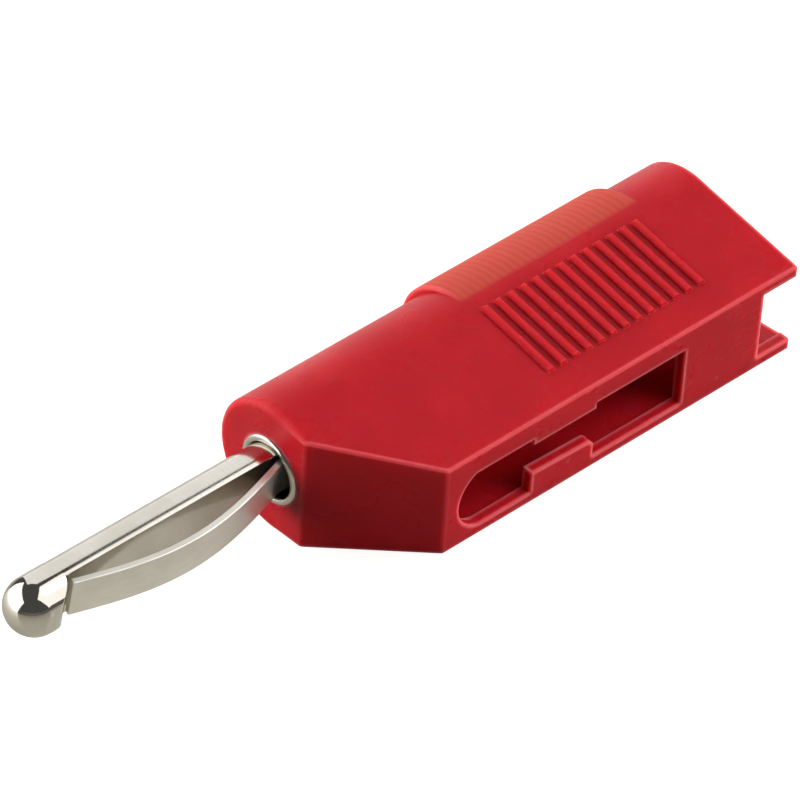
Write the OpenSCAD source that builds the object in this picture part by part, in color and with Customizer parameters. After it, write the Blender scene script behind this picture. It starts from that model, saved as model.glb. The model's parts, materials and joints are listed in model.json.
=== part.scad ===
// Stackable banana plug: a moulded housing on a turned contact body, with a pin and bowed spring in front.
// Sizes are in millimetres. The pin lies along X and points to -X, and X is zero at the housing's front face.
// The round barrel is centred on the pin, and the cable side of the housing faces -Y.

/* [Housing] */
// Length of the housing from its front face to its rear end
housing_len = 36.6; // [35.6:0.1:42]
// Outer radius of the round barrel
barrel_r = 4.9; // [4.7:0.05:5.6]
// Distance from the pin axis to the cable-side face
side_reach = 9.95; // [9.7:0.05:12]
// Lean of each flat face towards the cable side, in degrees
flat_lean = 7.75; // [6:0.25:9]
// Distance of the front face's corner from the pin axis
front_reach = 3.06; // [2.6:0.02:4]
// Length of the slanted front corner along the pin axis
slant_len = 5.95; // [4.5:0.05:6.2]
// Thickness of the two flat walls at the cable-side face
plate_t = 0.8; // [0.7:0.05:1]
// Thickness of the cable-side wall
side_wall_t = 0.85; // [0.7:0.05:1]
// Distance by which the two flat walls reach past the cable-side wall at the rear
rear_gap_len = 3; // [2:0.1:5]

/* [Cable channel] */
// Start of the channel behind the front face
channel_x = 6.9; // [6.8:0.05:7]
// Distance from the pin axis to the channel's inner wall
channel_reach = 4.3; // [4.2:0.05:4.4]

/* [Side opening] */
// Radius of the round end, through which a screwdriver reaches the clamp screw
access_r = 2.5; // [2.4:0.05:2.6]
// Height of the round end's centre below the pin axis
access_drop = 0.35; // [0.2:0.05:0.5]
// Height of the opening's upper edge above the pin axis
opening_top = 1.9; // [1.8:0.05:2]
// End of the opening behind the front face
opening_end = 26.7; // [24:0.1:29]
// Start of the cable tab behind the front face
tab_x = 13.45; // [13.2:0.05:15]
// Length of the cable tab
tab_len = 5.4; // [4:0.1:8]
// Height of the cable tab above the opening's lower edge
tab_h = 1.7; // [1:0.05:2.2]
// Fall of the tab's top towards the rear
tab_fall = 0.2; // [0:0.05:0.5]
// Size of the tab's blunted rear corner
tab_corner = 0.35; // [0.1:0.05:0.5]
// Depth of the lug that hangs above the tab
lug_h = 0.5; // [0.2:0.05:0.8]

/* [Grips] */
// Start of the raised band behind the front face
band_x = 16.05; // [14:0.05:18]
// Length of the raised band
band_len = 15.7; // [10:0.1:18]
// Distance by which the raised band stands off the barrel
band_rise = 0.65; // [0.3:0.05:1]
// Size of the band's chamfer at its front end
band_front = 0.2; // [0.1:0.05:0.4]
// Size of the band's chamfer at its rear end
band_rear = 0.45; // [0.2:0.05:0.6]
// Number of grip ribs on the upper face
rib_count = 13; // [9:1:15]
// Centre of the first grip rib behind the front face
rib_x = 17; // [16:0.1:19]
// Distance from one grip rib to the next
rib_pitch = 1.1; // [0.9:0.05:1.2]
// Width of a grip rib at its foot
rib_w = 0.62; // [0.4:0.02:0.8]
// Height of a grip rib
rib_h = 0.28; // [0.15:0.01:0.4]
// Start of the grip ribs on the cable side of the pin axis
rib_start = 0.3; // [0.2:0.05:3]
// Length of a grip rib
rib_len = 6.6; // [4:0.1:7]

/* [Contact body] */
// Radius of the front neck that shows around the pin
neck_r = 2.4; // [2.35:0.01:2.6]
// Inner radius of the front neck
neck_bore_r = 2; // [1.99:0.01:2.05]
// Distance by which the neck stands out of the front face
neck_out = 0.12; // [0.05:0.01:0.3]
// Length of the neck inside the housing
neck_len = 1.4; // [1.2:0.1:2]
// Size of the chamfers on the neck's front edges
neck_edge = 0.15; // [0.02:0.01:0.18]
// Radius of the contact body
body_r = 3.2; // [3.1:0.02:3.4]
// Depth of the contact body's rear end inside the housing
body_recess = 2.6; // [1.5:0.1:4]
// Radius of the rear socket
socket_r = 2.02; // [2.01:0.01:2.05]
// Depth of the rear socket
socket_depth = 19.1; // [15:0.1:19.5]
// Size of the lead-in at the socket's mouth
socket_lead = 0.5; // [0.3:0.05:0.8]
// Distance from the body's rear end to the snap groove
groove_back = 4; // [3:0.1:6]
// Width of the snap groove
groove_w = 0.9; // [0.6:0.1:1.2]
// Depth of the snap groove
groove_depth = 0.3; // [0.2:0.05:0.4]
// Distance from the pin axis to the flat that the clamp washer seats on
seat_flat = 2.2; // [2.1:0.05:2.4]
// Length of that flat along the body
seat_flat_len = 6; // [5.4:0.1:6.4]

/* [Pin] */
// Radius of the round nose
nose_r = 2; // [1.99:0.005:2]
// Distance from the front face to the nose's centre
nose_reach = 19.24; // [17:0.02:22]
// Radius of the bar behind the nose
bar_r = 1.97; // [1.9:0.01:1.98]
// Distance from the pin axis to the bar's flat
bar_flat = 0.4; // [0.3:0.05:0.5]
// Distance from the nose's centre to the end of its shoulder in front of the spring
shoulder_len = 1.95; // [1.8:0.05:2]
// Distance in front of the nose's centre at which the shoulder starts to fall
shoulder_lead = 0.6; // [0.4:0.05:0.8]
// Distance from the pin axis to the top of the shoulder, on the spring's side
shoulder_r = 1.9; // [1.8:0.02:1.94]
// Turn of the pin and its spring about the pin axis, in degrees
pin_turn = 8; // [0:1:12]
// Start of the pin's round root behind the front face
root_x = 3; // [2.5:0.1:3.5]
// Length of the pin's round root
root_len = 4.4; // [3:0.1:4.6]

/* [Bow spring] */
// Thickness of the spring strip
bow_t = 0.5; // [0.4:0.02:0.6]
// Width of the spring strip
bow_w = 3.1; // [2.4:0.05:3.2]
// Distance from the nose's centre to the strip's front end
bow_front = 2.1; // [2.05:0.02:2.4]
// Height of the arch at its middle
bow_rise = 1.65; // [1.4:0.05:1.9]
// Distance of the arch's rear foot behind the front face
bow_foot = 0.16; // [0:0.02:0.4]
// Length of the tail that sits in the pin's root
tail_in = 2.2; // [1.5:0.1:2.6]

/* [Clamp screw] */
// Distance of the screw's axis behind the front face
screw_x = 9.6; // [9.4:0.05:9.8]
// Radius of the threaded hole
thread_r = 1.5; // [1.45:0.01:1.55]
// Length of the shank under the head
shank_len = 3.3; // [2.8:0.05:3.4]
// Radius of the head
head_r = 2.3; // [2:0.05:2.35]
// Height of the head
head_h = 1.4; // [1.2:0.05:1.45]
// Width of the screwdriver slot
slot_w = 0.6; // [0.5:0.05:0.8]
// Depth of the screwdriver slot
slot_depth = 0.75; // [0.5:0.05:0.9]
// Radius of the clamp washer
washer_r = 2.4; // [2.35:0.05:2.5]
// Thickness of the clamp washer
washer_t = 0.5; // [0.4:0.05:0.55]

/* [Hidden] */
$fn = 96;
// Running clearance between the screw's shank and its hole, and the washer's bore and the shank
shank_gap = 0.05;
washer_gap = 0.1;
// Clearance of the fixed metal pieces in their seats
seat_gap = 0.02;
// Gap between flat faces that rest on each other
face_gap = 0.01;
// Clearance around the clamp washer in the housing
access_gap = 0.5;
// Inset of the flats from the barrel's tangent, so that they cross the barrel cleanly
flat_inset = 0.02;
// Overrun of a cut past the face that it opens
over = 0.6;
// Depth of the bar's flat below the spring's tail
tail_gap = 0.05;
// Length of the threaded hole past the screw's tip
hole_spare = 0.6;

flat_r = barrel_r - flat_inset;
foot_y = flat_r * sin(flat_lean);
foot_z = flat_r * cos(flat_lean);
bar_seat = bar_flat + tail_gap;
side_inner = side_reach - side_wall_t;
opening_floor = half_at(side_reach) - plate_t;
tab_end = tab_x + tab_len;
body_end = housing_len - body_recess;
socket_x = body_end - socket_depth;
groove_x = body_end - groove_back;
bow_x = bow_front - nose_reach;
bow_span = bow_foot - bow_x;
tail_end = root_x + tail_in;
washer_y = seat_flat + face_gap;
head_y = washer_y + washer_t + face_gap;
hole_tip = head_y - shank_len - hole_spare;
washer_hole_r = thread_r - shank_gap + washer_gap;
bow_steps = 36;
shoulder_steps = 16;

// Half the housing's thickness at a distance from the pin axis towards the cable side
function half_at(reach) = (flat_r - reach * sin(flat_lean)) / cos(flat_lean);

// Outer face of the arch at a share of its span
function bow_out(share) = bar_seat + bow_t + bow_rise * sin(180 * share);

// Lays the plug on its lower flat face, by a turn about the pin axis
module lay() {
    rotate([flat_lean, 0, 0]) children();
}

// A round bar along +X from a start
module bar_x(start, len, r) {
    translate([start, 0, 0]) rotate([0, 90, 0]) cylinder(h = len, r = r);
}

// A round bar along -Y at the screw's axis, between two distances from the pin axis
module bar_y(near, far, r, x = screw_x, z = 0) {
    translate([x, -near, z]) rotate([90, 0, 0]) cylinder(h = far - near, r = r);
}

// An outline in Y and Z, drawn out along +X
module along_x(start, len) {
    translate([start, 0, 0]) rotate([90, 0, 90]) linear_extrude(height = len) children();
}

// An outline in X and Z, cut through the cable-side wall
module through_side() {
    translate([0, over - side_inner, 0])
        rotate([90, 0, 0])
        linear_extrude(height = side_wall_t + 2 * over)
        children();
}

// Housing

module outer_outline() {
    circle(r = barrel_r);
    polygon([
        [-foot_y, foot_z],
        [-side_reach, half_at(side_reach)],
        [-side_reach, -half_at(side_reach)],
        [-foot_y, -foot_z]
    ]);
}

module slanted_corner() {
    grow = over / slant_len;
    rise = (side_reach - front_reach) * grow;
    translate([0, 0, -barrel_r - over])
        linear_extrude(height = 2 * (barrel_r + over))
        polygon([
            [-over, -front_reach + rise],
            [slant_len + over, -side_reach - rise],
            [-over, -side_reach - rise]
        ]);
}

module grip_band() {
    plain_len = band_len - band_front - band_rear;
    translate([band_x, band_rise, 0]) rotate([0, 90, 0]) {
        cylinder(h = band_front, r1 = barrel_r - band_front, r2 = barrel_r);
        translate([0, 0, band_front]) cylinder(h = plain_len, r = barrel_r);
        translate([0, 0, band_front + plain_len])
            cylinder(h = band_rear, r1 = barrel_r, r2 = barrel_r - band_rear);
    }
}

module grip_ribs() {
    root = rib_h;
    for (i = [0 : rib_count - 1])
        translate([rib_x + i * rib_pitch, 0, 0])
            rotate([flat_lean, 0, 0])
            translate([0, -rib_start, flat_r - root])
            rotate([90, 0, 0])
            linear_extrude(height = rib_len)
            polygon([
                [-rib_w / 2, 0],
                [rib_w / 2, 0],
                [rib_w / 2, root],
                [rib_w / 4, root + rib_h],
                [-rib_w / 4, root + rib_h],
                [-rib_w / 2, root]
            ]);
}

module channel_outline() {
    inner = half_at(channel_reach) - plate_t;
    outer = half_at(side_inner) - plate_t;
    polygon([
        [-channel_reach, inner],
        [-side_inner, outer],
        [-side_inner, -outer],
        [-channel_reach, -inner]
    ]);
}

module opening_outline() {
    difference() {
        union() {
            intersection() {
                translate([screw_x, -access_drop]) circle(r = access_r);
                translate([0, -opening_floor]) square([housing_len, 2 * barrel_r]);
            }
            translate([screw_x, -opening_floor]) square([opening_end - screw_x, opening_floor + opening_top]);
        }
        polygon([
            [tab_x, -opening_floor - over],
            [tab_x, -opening_floor + tab_h],
            [tab_end - tab_corner, -opening_floor + tab_h - tab_fall],
            [tab_end, -opening_floor + tab_h - tab_fall - tab_corner],
            [tab_end, -opening_floor - over]
        ]);
        translate([tab_x, opening_top - lug_h]) square([tab_len, lug_h + over]);
    }
}

module contact_bore() {
    bar_x(-over, neck_len + 2 * over, neck_r + seat_gap);
    bar_x(neck_len, groove_x - neck_len, body_r + seat_gap);
    bar_x(groove_x - over, groove_w + 2 * over, body_r - groove_depth + seat_gap);
    bar_x(groove_x + groove_w, housing_len - groove_x, body_r + seat_gap);
}

module housing() {
    color("firebrick") lay() difference() {
        union() {
            along_x(0, housing_len) outer_outline();
            grip_band();
            grip_ribs();
        }
        slanted_corner();
        contact_bore();
        along_x(channel_x, housing_len) channel_outline();
        through_side() opening_outline();
        bar_y(seat_flat, channel_reach + over, washer_r + access_gap);
        translate([housing_len - rear_gap_len, -side_reach - over, -opening_floor])
            cube([housing_len, side_wall_t + 2 * over, 2 * opening_floor]);
    }
}

// Contact body, with the pin seat in front and the socket at the rear

module neck() {
    mid_r = (neck_r + neck_bore_r) / 2;
    rotate([0, 90, 0])
        rotate_extrude()
        polygon([
            [0, -neck_out + neck_edge],
            [neck_bore_r, -neck_out + neck_edge],
            [min(neck_bore_r + neck_edge, mid_r), -neck_out],
            [max(neck_r - neck_edge, mid_r), -neck_out],
            [neck_r, -neck_out + neck_edge],
            [neck_r, neck_len + over],
            [0, neck_len + over]
        ]);
}

module contact_body() {
    color("silver") lay() difference() {
        union() {
            neck();
            bar_x(neck_len + face_gap, body_end - neck_len - face_gap, body_r);
        }
        difference() {
            bar_x(groove_x - seat_gap, groove_w + 2 * seat_gap, body_r + over);
            bar_x(groove_x - over, groove_w + 2 * over, body_r - groove_depth);
        }
        bar_x(-neck_out - over, neck_out + over + root_x, neck_bore_r);
        bar_x(root_x - over, root_len + over + face_gap, bar_r + seat_gap);
        bar_x(socket_x, socket_depth + over, socket_r);
        translate([body_end - socket_lead, 0, 0])
            rotate([0, 90, 0])
            cylinder(h = socket_lead + face_gap, r1 = socket_r, r2 = socket_r + socket_lead + face_gap);
        translate([screw_x - seat_flat_len / 2, -body_r - over, -body_r])
            cube([seat_flat_len, body_r + over - seat_flat, 2 * body_r]);
        bar_y(hole_tip, seat_flat + over, thread_r);
    }
}

// Pin: a round nose, a bar with a flat under the spring, and a round root with a pocket for the spring's tail

// What the mill takes off the spring's side: the flat, up to the nose's rounded shoulder
module milled_side() {
    start = -nose_reach - shoulder_lead;
    shoulder = [for (i = [0 : shoulder_steps]) let (turn = 90 * i / shoulder_steps)
        [start + (shoulder_len + shoulder_lead) * sin(turn), -shoulder_r * cos(turn)]];
    translate([0, 0, -nose_r - over])
        linear_extrude(height = 2 * (nose_r + over))
        difference() {
            translate([start, -nose_r - over]) square([root_x - start, nose_r + over - bar_flat]);
            polygon(concat([[start - over, 0], [start - over, -shoulder_r]], shoulder));
        }
}

module contact_pin() {
    pocket_y = bar_seat + bow_t + seat_gap;
    pocket_z = bow_w / 2 + seat_gap;
    color("gainsboro") lay() rotate([pin_turn, 0, 0]) {
        difference() {
            union() {
                difference() {
                    union() {
                        translate([-nose_reach, 0, 0]) sphere(r = nose_r);
                        bar_x(-nose_reach, nose_reach + root_x, bar_r);
                    }
                    milled_side();
                }
                bar_x(root_x, root_len, bar_r);
            }
            translate([root_x - over, -pocket_y, -pocket_z])
                cube([over + tail_in + seat_gap, pocket_y - bar_flat, 2 * pocket_z]);
        }
    }
}

// Bow spring: an arched strip whose front end stands behind the nose and whose tail sits in the pin's root

module bow_spring() {
    upper = [for (i = [0 : bow_steps]) [bow_x + bow_span * i / bow_steps, -bow_out(i / bow_steps)]];
    lower = [for (i = [bow_steps : -1 : 0]) [bow_x + bow_span * i / bow_steps, bow_t - bow_out(i / bow_steps)]];
    tail = [[tail_end, -bar_seat - bow_t], [tail_end, -bar_seat]];
    color("lightgray") lay() rotate([pin_turn, 0, 0])
        translate([0, 0, -bow_w / 2])
        linear_extrude(height = bow_w)
        polygon(concat(upper, tail, lower));
}

// Clamp washer and clamp screw, on an axis that faces the side opening

module clamp_washer() {
    color("darkgray") lay() difference() {
        bar_y(washer_y, washer_y + washer_t, washer_r);
        bar_y(washer_y - over, washer_y + washer_t + over, washer_hole_r);
    }
}

module clamp_screw() {
    color("slategray") lay() difference() {
        union() {
            bar_y(head_y, head_y + head_h, head_r);
            bar_y(head_y - shank_len, head_y + over, thread_r - shank_gap);
        }
        translate([screw_x - head_r - over, -head_y - head_h - over, -slot_w / 2])
            cube([2 * (head_r + over), over + slot_depth, slot_w]);
    }
}

housing();
contact_body();
contact_pin();
bow_spring();
clamp_washer();
clamp_screw();
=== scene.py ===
# %% [markdown]
# # A stackable banana plug
# The plug has one red moulding, a turned and nickel-plated contact body inside it, a pin with a bowed
# spring in front, and a clamp screw with its washer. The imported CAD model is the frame: it says where
# each piece sits.

# %% Load the frame
import json
import math

import bmesh
import bpy
from mathutils import Euler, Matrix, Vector

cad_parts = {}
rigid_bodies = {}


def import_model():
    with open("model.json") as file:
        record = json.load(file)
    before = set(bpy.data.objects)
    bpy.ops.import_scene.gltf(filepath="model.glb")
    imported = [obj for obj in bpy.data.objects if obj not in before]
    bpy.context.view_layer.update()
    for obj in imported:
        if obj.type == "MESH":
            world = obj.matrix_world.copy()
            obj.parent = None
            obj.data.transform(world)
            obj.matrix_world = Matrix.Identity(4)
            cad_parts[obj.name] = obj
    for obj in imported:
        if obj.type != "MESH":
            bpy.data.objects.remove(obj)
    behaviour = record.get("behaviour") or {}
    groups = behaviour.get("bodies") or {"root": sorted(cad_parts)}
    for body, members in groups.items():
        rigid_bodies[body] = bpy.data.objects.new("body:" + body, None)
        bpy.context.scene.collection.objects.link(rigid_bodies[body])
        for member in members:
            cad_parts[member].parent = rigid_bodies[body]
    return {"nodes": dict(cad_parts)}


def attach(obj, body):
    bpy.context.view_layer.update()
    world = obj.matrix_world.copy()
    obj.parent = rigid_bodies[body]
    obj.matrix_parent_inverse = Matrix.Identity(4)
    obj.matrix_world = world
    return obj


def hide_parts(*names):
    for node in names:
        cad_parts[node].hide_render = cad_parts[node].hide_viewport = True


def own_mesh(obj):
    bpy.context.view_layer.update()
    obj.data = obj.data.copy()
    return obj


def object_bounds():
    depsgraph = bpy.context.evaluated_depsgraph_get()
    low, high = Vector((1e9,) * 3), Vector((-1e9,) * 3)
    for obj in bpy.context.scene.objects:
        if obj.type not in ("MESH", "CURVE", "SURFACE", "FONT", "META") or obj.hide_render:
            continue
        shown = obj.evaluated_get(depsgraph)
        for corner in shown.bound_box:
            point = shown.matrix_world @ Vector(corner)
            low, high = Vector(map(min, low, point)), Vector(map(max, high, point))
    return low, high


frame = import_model()
cad_low, cad_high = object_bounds()
print("nodes:", sorted(frame["nodes"]))
print("box of the CAD model in mm:", [round(v * 1000, 2) for v in (*cad_low, *cad_high)])

# %% [markdown]
# ## How the pieces are modelled
# The pieces are modelled in millimetres and upright: the pin lies along X, the housing's front face is
# at X 0, and the cable side faces -Y. When a piece is finished, it is turned about the pin's axis until
# the plug lies on its lower flat, scaled to metres, and both are applied to its mesh. So the sizes read
# like a drawing, and a finished piece has its place in its mesh, as the frame asks.

# %% Sizes of the real plug, in millimetres
FLAT_LEAN = math.radians(7.75)
BARREL_R = 4.9
HOUSING_LEN = 36.6
SIDE_REACH = 9.95
FRONT_REACH = 3.06
SLANT_LEN = 5.95
PLATE_T = 0.8
SIDE_WALL_T = 0.85
NOSE_R = 2.0
NOSE_REACH = 19.24
BAR_R = 1.97
BAR_FLAT = 0.4
PIN_TURN = math.radians(8)
SCREW_X = 9.6

# Clearance of fixed pieces in their seats, gap between faces that touch, inset of the flats, and overrun
# of a cutting tool past the face that it opens
SEAT_GAP = 0.02
FACE_GAP = 0.01
FLAT_INSET = 0.02
OVER = 0.6


def half_thickness(reach):
    """Half the housing's thickness at a distance from the pin's axis towards the cable side."""
    return (BARREL_R - reach * math.sin(FLAT_LEAN)) / math.cos(FLAT_LEAN)


print("housing is", round(2 * half_thickness(SIDE_REACH), 2), "mm thick at its cable side")

# %% [markdown]
# ## Helpers for working as by hand
# An operator acts on whatever is selected, and loading the frame leaves the CAD nodes selected. So each
# step starts by deselecting everything. Edges and faces are then chosen in code, by where they are, and
# near enough is within five thousandths of a millimetre.


# %% Selecting
NEAR = 0.005


def clear_selection():
    """Back to object mode, with nothing selected."""
    if bpy.context.mode != "OBJECT":
        bpy.ops.object.mode_set(mode="OBJECT")
    bpy.ops.object.select_all(action="DESELECT")


def take(piece):
    """Makes this piece the only selected and active one."""
    clear_selection()
    piece.select_set(True)
    bpy.context.view_layer.objects.active = piece
    return piece


def edit(piece, kind="EDGE", everything=False):
    """Edit mode on this piece, for one kind of element, with all or none of it selected."""
    take(piece)
    bpy.ops.object.mode_set(mode="EDIT")
    bpy.ops.mesh.select_mode(type=kind)
    bpy.ops.mesh.select_all(action="SELECT" if everything else "DESELECT")


def pick(piece, kind, test):
    """In edit mode, selects the verts, edges or faces that pass the test, and counts them."""
    mesh = bmesh.from_edit_mesh(piece.data)
    found = [part for part in getattr(mesh, kind) if test(part)]
    for part in found:
        part.select_set(True)
    mesh.select_flush_mode()
    bmesh.update_edit_mesh(piece.data)
    return len(found)


def face_outwards():
    """In edit mode, selects all of the piece and turns its faces outwards."""
    bpy.ops.mesh.select_all(action="SELECT")
    bpy.ops.mesh.normals_make_consistent(inside=False)


def middle(edge):
    """The point halfway along an edge."""
    return (edge.verts[0].co + edge.verts[1].co) / 2


clear_selection()
print("selected after clearing:", len(bpy.context.selected_objects), "objects")

# %% [markdown]
# A modifier is applied as soon as it is set, so that each step starts from a plain mesh. Booleans do most of
# the cutting, as a mould's cores and a mill do on the real pieces. Each object's place is applied too,
# because sizes would be read wrongly on an object that is turned or scaled.


# %% Applying and cutting
def finish_modifier(piece, kind, **settings):
    """Adds a modifier, sets it, and applies it."""
    modifier = piece.modifiers.new(kind.title(), kind)
    for name, value in settings.items():
        setattr(modifier, name, value)
    take(piece)
    bpy.ops.object.modifier_apply(modifier=modifier.name)


def combine(piece, tool, operation="DIFFERENCE"):
    """Cuts a tool out of a piece, or unites the two, and removes the tool."""
    finish_modifier(piece, "BOOLEAN", object=tool, operation=operation, solver="EXACT")
    bpy.data.objects.remove(tool)


def apply_place(piece):
    """Puts the object's place, turn and scale into its mesh."""
    take(piece)
    bpy.ops.object.transform_apply(location=True, rotation=True, scale=True)
    return piece


def named(name):
    """Names the new object, applies where it was placed, and returns it."""
    piece = bpy.context.active_object
    piece.name = name
    return apply_place(piece)


def tell(piece, what):
    """Prints what was done to a piece, and how many faces it has now."""
    print(f"{piece.name}, {what}: {len(piece.data.polygons)} faces")


print("nodes to model:", len(frame["nodes"]))

# %% [markdown]
# A cutting tool or a blank is a block, a round bar, an outline drawn out like a moulding core, or a profile
# turned on a lathe. Blocks and bars come from Blender's own cube and cylinder, placed by their ends.


# %% Blocks and bars to start from
ALONG_X = (0, math.pi / 2, 0)
ALONG_Y = (math.pi / 2, 0, 0)


def block(name, low, high):
    """A block between two corners."""
    clear_selection()
    size = [b - a for a, b in zip(low, high)]
    spot = [(a + b) / 2 for a, b in zip(low, high)]
    bpy.ops.mesh.primitive_cube_add(size=1, location=spot, scale=size)
    return named(name)


def bar(name, radius, start, end, turn=ALONG_X, at=(0, 0, 0), sides=128):
    """A round bar along X or Y, from start to end."""
    clear_selection()
    spot = Vector(at)
    spot["xyz".index("y" if turn == ALONG_Y else "x")] += (start + end) / 2
    bpy.ops.mesh.primitive_cylinder_add(
        vertices=sides, radius=radius, depth=abs(end - start), location=spot, rotation=turn
    )
    return named(name)


print("a bar is turned by", round(math.degrees(ALONG_X[1])), "degrees to lie along X")

# %% [markdown]
# An outline could be typed in as a mesh. Extruding one vertex from point to point is the same work as by
# hand, and each point then reads as a corner of the drawing. For a turned piece, half of its section is
# drawn and spun all the way round, and the points that meet on the axis are merged.

# %% Outlines, drawn out or turned
SAME_POINT = 0.0005


def outline(name, points, filled=False):
    """An outline drawn from one vertex by extruding it from point to point, and filled if asked."""
    clear_selection()
    bpy.ops.mesh.primitive_plane_add(size=1)
    piece = named(name)
    edit(piece, "VERT", everything=True)
    bpy.ops.mesh.merge(type="CENTER")
    bpy.ops.transform.translate(value=points[0])
    for before, after in zip(points, points[1:]):
        step = [b - a for a, b in zip(before, after)]
        bpy.ops.mesh.extrude_region_move(TRANSFORM_OT_translate={"value": step})
    if filled:
        bpy.ops.mesh.select_all(action="SELECT")
        bpy.ops.mesh.edge_face_add()
    return piece


def drawn_out(name, points, step):
    """An outline, filled and extruded by a step."""
    piece = outline(name, points, filled=True)
    edit(piece, "FACE", everything=True)
    bpy.ops.mesh.extrude_region_move(TRANSFORM_OT_translate={"value": step})
    face_outwards()
    clear_selection()
    return piece


def turned(name, profile, steps=96):
    """A profile of (x, radius) points, spun round the pin's axis as on a lathe."""
    piece = outline(name, [(x, 0, r) for x, r in profile])
    edit(piece, "VERT", everything=True)
    bpy.ops.mesh.spin(
        steps=steps, angle=2 * math.pi, center=(0, 0, 0), axis=(1, 0, 0), use_auto_merge=True
    )
    bpy.ops.mesh.select_all(action="SELECT")
    bpy.ops.mesh.remove_doubles(threshold=SAME_POINT)
    face_outwards()
    clear_selection()
    return piece


def arc(centre_x, centre_r, radius, start, end, steps=6):
    """Points of a profile on an arc, with angles in degrees from +X towards larger radii."""
    turns = [math.radians(start + (end - start) * i / steps) for i in range(steps + 1)]
    return [(centre_x + radius * math.cos(a), centre_r + radius * math.sin(a)) for a in turns]


print("a nose profile starts at", [round(v, 2) for v in arc(-NOSE_REACH, 0, NOSE_R, 180, 90)[0]])

# %% [markdown]
# Cuts leave slivers that would shade as dark specks, so near points are merged before a piece is smoothed.
# Smoothing by angle alone would bend the light on large flats, and weighted normals keep them flat. The
# piece is then laid down, and handed to the frame in place of its CAD node.

# %% Smoothing, laying down and handing over
SLIVER = 0.002
TO_METRES = 0.001


def smooth(piece, angle=32):
    """Smooth shading that keeps sharp corners, and flat faces flat right up to their bevels."""
    edit(piece, "VERT", everything=True)
    bpy.ops.mesh.remove_doubles(threshold=SLIVER)
    bpy.ops.mesh.dissolve_degenerate(threshold=SLIVER)
    take(piece)
    bpy.ops.object.shade_smooth_by_angle(angle=math.radians(angle))
    finish_modifier(piece, "WEIGHTED_NORMAL", mode="FACE_AREA", weight=50, keep_sharp=True)


def lay(piece, turn=0.0):
    """Turns the finished piece about the pin's axis onto its lower flat, and scales it to metres."""
    piece.rotation_euler = (FLAT_LEAN + turn, 0, 0)
    piece.scale = (TO_METRES, TO_METRES, TO_METRES)
    apply_place(piece)
    clear_selection()


def hand_over(piece, node, body):
    """The piece stands for a CAD node, which is hidden, and rides on its body."""
    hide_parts(node)
    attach(piece, body)
    size = [round(v * 1000, 2) for v in piece.dimensions]
    print(f"{piece.name}: {len(piece.data.polygons)} faces, {size} mm")


print("pieces are turned by", round(math.degrees(FLAT_LEAN), 2), "degrees as they are laid down")

# %% [markdown]
# ## Camera
# The camera is as far away and as long as the photograph's perspective asks. It looks down on the plug
# from the nose's side, and is turned a little about its own axis.

# %% Camera
VIEW_AZIMUTH = -40.28
VIEW_ELEVATION = 37.03
VIEW_ROLL = -2.95
VIEW_DISTANCE = 0.41198
VIEW_AIM = Vector((0.010662, -0.000435, 0.0))
VIEW_LENS = 290.57

around, above = math.radians(VIEW_AZIMUTH), math.radians(VIEW_ELEVATION)
back = Vector(
    (math.sin(around) * math.cos(above), -math.cos(around) * math.cos(above), math.sin(above))
)
camera_data = bpy.data.cameras.new("camera")
camera = bpy.data.objects.new("camera", camera_data)
bpy.context.scene.collection.objects.link(camera)
camera_data.lens = VIEW_LENS
camera_data.clip_start, camera_data.clip_end = 0.01, 20
camera.location = VIEW_AIM + back * VIEW_DISTANCE
looking = (-back).to_track_quat("-Z", "Y").to_matrix().to_4x4()
rolled = looking @ Euler((0, 0, math.radians(VIEW_ROLL))).to_matrix().to_4x4()
camera.rotation_euler = rolled.to_euler()
bpy.context.scene.camera = camera
print("camera at", [round(v * 1000, 1) for v in camera.location], "mm")

# %% [markdown]
# ## Housing: the outer form
# The real housing is one moulding: a round barrel over the contact, and a wedge beside it that holds the
# lead. A circle is the start. Its points on the cable side are removed, its two open ends are extruded
# along the flats, which touch the circle, and the outline is filled and extruded to the full length. Each
# flat starts with a short step, so that the round barrel's shading ends near it.

# %% Housing outline, drawn out
LEAD_IN = 0.35
CIRCLE_POINTS = 128
clear_selection()
bpy.ops.mesh.primitive_circle_add(vertices=CIRCLE_POINTS, radius=BARREL_R, rotation=ALONG_X)
housing = named("red_housing")
foot = BARREL_R * math.sin(FLAT_LEAN)
half_step = math.pi * BARREL_R / CIRCLE_POINTS
edit(housing, "VERT")
pick(housing, "verts", lambda v: v.co.y < -foot - half_step)
bpy.ops.mesh.delete(type="VERT")
for side in (1, -1):
    bpy.ops.mesh.select_all(action="DESELECT")
    pick(housing, "verts", lambda v: len(v.link_edges) == 1 and v.co.z * side > 0)
    end = next(v.co.copy() for v in bmesh.from_edit_mesh(housing.data).verts if v.select)
    corner = Vector((0, -SIDE_REACH, side * half_thickness(SIDE_REACH)))
    near_end = end + (corner - end).normalized() * LEAD_IN
    for before, after in ((end, near_end), (near_end, corner)):
        bpy.ops.mesh.extrude_region_move(TRANSFORM_OT_translate={"value": after - before})
bpy.ops.mesh.select_all(action="SELECT")
bpy.ops.mesh.edge_face_add()
bpy.ops.mesh.extrude_region_move(TRANSFORM_OT_translate={"value": (HOUSING_LEN, 0, 0)})
face_outwards()
print("outline drawn out to", HOUSING_LEN, "mm")

# %% [markdown]
# The slanted front corner is one straight cut, so a bisect with a fill is the plainest way. A Bevel
# modifier then rounds the corners. Each edge has its own weight, because on the real moulding the
# barrel's front rim is rounded more than the long edges.

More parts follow.
